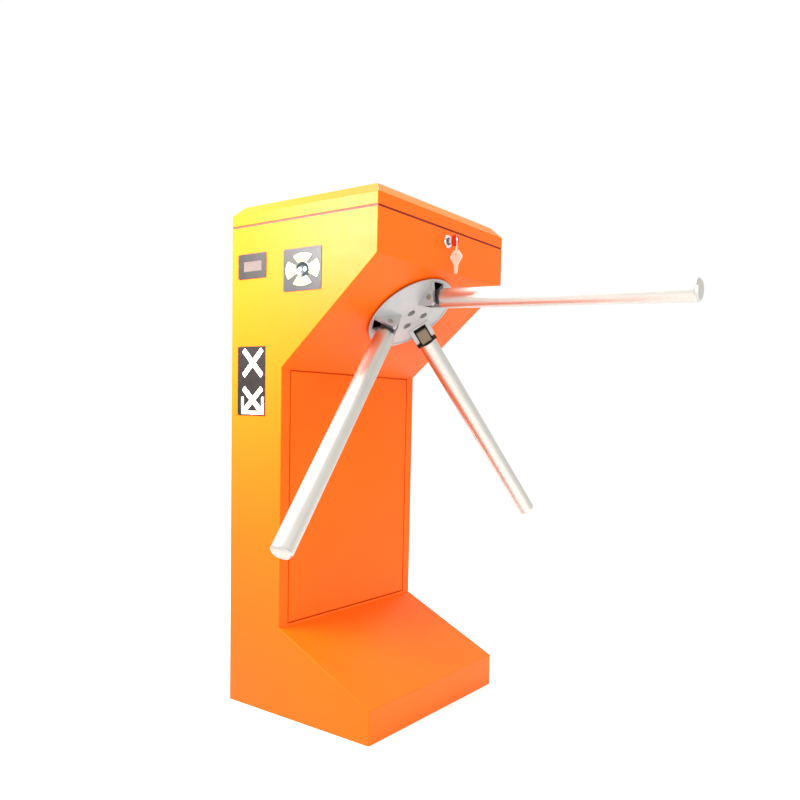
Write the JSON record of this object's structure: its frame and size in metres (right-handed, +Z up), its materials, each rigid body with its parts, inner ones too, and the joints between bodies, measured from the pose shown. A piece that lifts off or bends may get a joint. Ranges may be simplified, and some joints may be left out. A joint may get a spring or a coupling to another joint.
{
  "type": "visitor counter turnstile",
  "caption": "C-shaped orange steel cabinet with a slanting panel that carries a rotor of dropping steel bars, a lit indicator, a counter window, a cam lock and a hinged lid.",
  "frame": {"origin": "on the floor, at the centre of the anchor-bolt pattern and of the cabinet's footprint", "axes": "+X towards the passage where the arms stand, -Y the side with the displays, +Z up"},
  "size_m": [0.8717, 0.7958, 0.98],
  "materials": {
    "cabinet_paint": "satin orange powder coat with a fine orange-peel texture",
    "plated_steel": "zinc-plated sheet and turned steel",
    "machined_steel": "machined and ground steel",
    "bearing_steel": "polished bearing steel",
    "cast_housing": "machined aluminium casting",
    "black_nylon": "black moulded nylon",
    "rubber_seal": "black rubber",
    "lock_chrome": "polished chrome plate",
    "dark_plug": "dark blue-black plated plug",
    "key_steel": "nickel-plated key steel, lightly worn",
    "red_plastic": "red moulded plastic key cover",
    "black_plate": "black display plate",
    "display_lens": "smoked grey-brown display window",
    "circuit_board": "green circuit board with black components",
    "lime_lens": "translucent lime-green light segments",
    "light_lens": "pale blue light lenses",
    "sign_white": "off-white raised bars",
    "rotor_finish": "pale silver coat on a casting",
    "dark_screws": "blackened socket screws",
    "stainless_tube": "brushed stainless tube, grain along its length",
    "coil_case": "taped coil in a plated case",
    "cable_jacket": "grey-black cable sleeve"
  },
  "bodies": {
    "cabinet": {"cabinet_body": "cabinet_paint", "base_plate": "plated_steel", "cable_grommet": "rubber_seal", "hinge_leaves_fixed": "cabinet_paint", "hinge_pins": "machined_steel", "panel_clips": "black_nylon", "lock_barrel": "lock_chrome", "lock_nut": "plated_steel", "display_bezel": "black_plate", "display_window": "display_lens", "display_board": "circuit_board", "indicator_plate": "black_plate", "indicator_quadrants": "lime_lens", "indicator_lights": "light_lens", "sign_plate": "black_plate", "sign_bars": "sign_white", "mech_plate": "plated_steel", "machine_screws": "plated_steel", "bearing_housing": "cast_housing", "shaft_bearings": "bearing_steel", "damper_body": "cast_housing", "pawl_pivots": "machined_steel", "solenoids": "coil_case", "position_sensor": "black_nylon", "control_board": "circuit_board", "power_supply": "plated_steel", "wiring_loom": "cable_jacket"},
    "lid": {"top_lid": "cabinet_paint", "lid_gasket": "rubber_seal", "hinge_leaves_lid": "cabinet_paint"},
    "panel": {"service_panel": "cabinet_paint", "panel_studs": "plated_steel"},
    "lock": {"lock_plug": "dark_plug", "lock_cam": "plated_steel", "inserted_key": "key_steel", "key_bow": "red_plastic"},
    "ring": {"key_ring": "key_steel"},
    "spare": {"spare_key": "key_steel"},
    "hub": {"hub_disc": "rotor_finish", "hub_screws": "dark_screws", "arm_pins": "machined_steel", "main_shaft": "machined_steel", "drive_gear": "machined_steel", "lock_wheel": "machined_steel", "shaft_nut": "plated_steel", "position_disc": "plated_steel"},
    "damper": {"damper_pinion": "machined_steel"},
    "entry_pawl": {"entry_pawl": "machined_steel"},
    "exit_pawl": {"exit_pawl": "machined_steel"},
    "entry_plunger": {"entry_plunger": "plated_steel"},
    "exit_plunger": {"exit_plunger": "plated_steel"},
    "arm_1": {"arm_1_tube": "stainless_tube", "arm_1_cap": "stainless_tube", "arm_1_block": "machined_steel"},
    "arm_2": {"arm_2_tube": "stainless_tube", "arm_2_cap": "stainless_tube", "arm_2_block": "machined_steel"},
    "arm_3": {"arm_3_tube": "stainless_tube", "arm_3_cap": "stainless_tube", "arm_3_block": "machined_steel"}
  },
  "joints": [
    {"name": "hub_spin", "type": "hinge", "parent": "cabinet", "child": "hub", "pos_m": [0.10018, 0, 0.78711], "axis": [0.6388, 0, -0.7694], "continuous": true},
    {"name": "damper_spin", "type": "hinge", "parent": "cabinet", "child": "damper", "pos_m": [0.08823, 0, 0.88636], "axis": [0.6388, 0, -0.7694], "continuous": true},
    {"name": "arm_1_drop", "type": "hinge", "parent": "hub", "child": "arm_1", "pos_m": [0.16296, 0, 0.80933], "axis": [0, 1, 0], "range_deg": [0, 88]},
    {"name": "arm_2_drop", "type": "hinge", "parent": "hub", "child": "arm_2", "pos_m": [0.09083, -0.05413, 0.74945], "axis": [0.6663, -0.5, 0.5532], "range_deg": [0, 48]},
    {"name": "arm_3_drop", "type": "hinge", "parent": "hub", "child": "arm_3", "pos_m": [0.09083, 0.05413, 0.74945], "axis": [-0.6663, -0.5, -0.5532], "range_deg": [0, 48]},
    {"name": "entry_pawl_swing", "type": "hinge", "parent": "cabinet", "child": "entry_pawl", "pos_m": [-0.00832, -0.054, 0.827], "axis": [-0.6388, 0, 0.7694], "range_deg": [0, 8], "stiffness_Nm_per_rad": 1, "springref_deg": -8.59},
    {"name": "entry_plunger_slide", "type": "slide", "parent": "cabinet", "child": "entry_plunger", "axis": [0, -1, 0], "range_m": [0, 0.005]},
    {"name": "exit_pawl_swing", "type": "hinge", "parent": "cabinet", "child": "exit_pawl", "pos_m": [-0.00832, 0.054, 0.827], "axis": [0.6388, 0, -0.7694], "range_deg": [0, 8], "stiffness_Nm_per_rad": 1, "springref_deg": -8.59},
    {"name": "exit_plunger_slide", "type": "slide", "parent": "cabinet", "child": "exit_plunger", "axis": [0, 1, 0], "range_m": [0, 0.005]},
    {"name": "lid_hinge", "type": "hinge", "parent": "cabinet", "child": "lid", "pos_m": [-0.1915, 0, 0.938], "axis": [0, -1, 0], "range_deg": [0, 100]},
    {"name": "panel_pull", "type": "slide", "parent": "cabinet", "child": "panel", "axis": [1, 0, 0], "range_m": [0, 0.06]},
    {"name": "lock_turn", "type": "hinge", "parent": "cabinet", "child": "lock", "pos_m": [0.186, 0.002, 0.9154], "axis": [-1, 0, 0], "range_deg": [0, 90]},
    {"name": "ring_swing", "type": "hinge", "parent": "lock", "child": "ring", "pos_m": [0.207, 0.002, 0.9204], "axis": [0, -1, 0], "range_deg": [-5, 60]},
    {"name": "spare_key_swing", "type": "hinge", "parent": "ring", "child": "spare", "pos_m": [0.207, 0.002, 0.8914], "axis": [0, -1, 0], "range_deg": [-5, 40]}
  ],
  "couplings": [
    {"joint": "damper_spin", "follows": "hub_spin", "ratio": -3},
    {"joint": "entry_plunger_slide", "follows": "entry_pawl_swing", "m_per_rad": 0.03489},
    {"joint": "exit_plunger_slide", "follows": "exit_pawl_swing", "m_per_rad": 0.03489}
  ]
}
